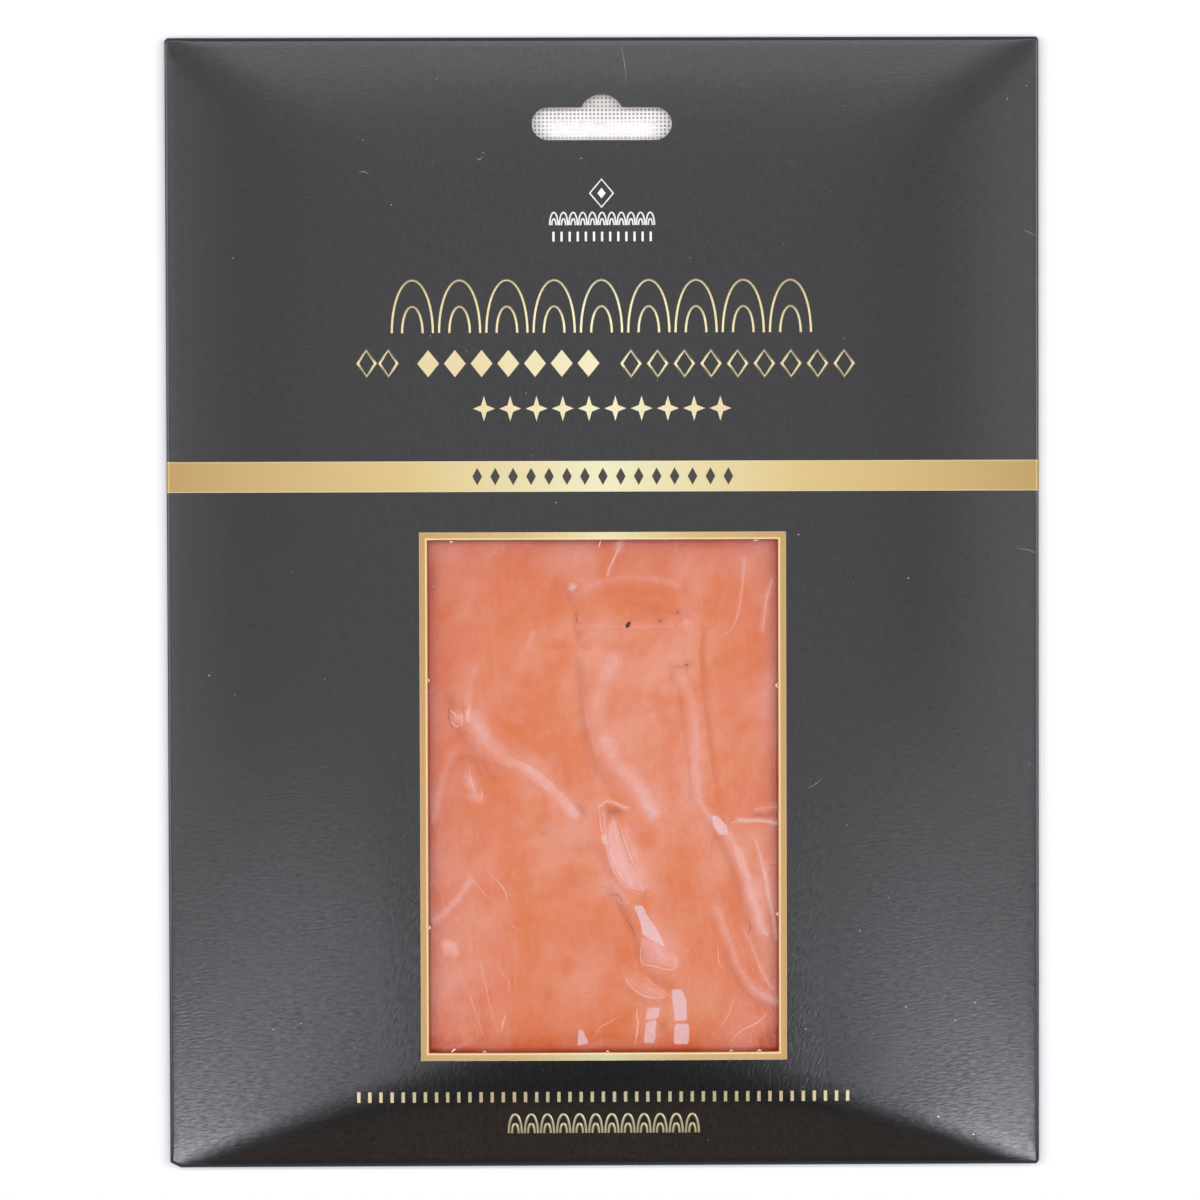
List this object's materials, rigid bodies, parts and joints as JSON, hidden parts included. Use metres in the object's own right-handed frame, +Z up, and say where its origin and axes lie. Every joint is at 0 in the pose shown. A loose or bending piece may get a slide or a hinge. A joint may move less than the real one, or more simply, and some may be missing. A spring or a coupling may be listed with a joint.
{
  "type": "pack of smoked salmon",
  "caption": "Flat retail pack of sliced smoked salmon: a black card sleeve with gold foil bands, a hang slot and a framed window onto fish under clear vacuum film.",
  "frame": {"origin": "on the surface that the pack lies on, under the middle of the sleeve", "axes": "+X to the right of the printed front, +Y along its height towards the hang slot, +Z up out of the front"},
  "size_m": [0.2, 0.259, 0.006],
  "materials": {
    "card": "satin",
    "film_and_fish": "gloss",
    "gold_foil": "satin"
  },
  "bodies": {
    "root": {"card_sleeve": "card", "salmon_pouch": "film_and_fish"}
  },
  "joints": []
}
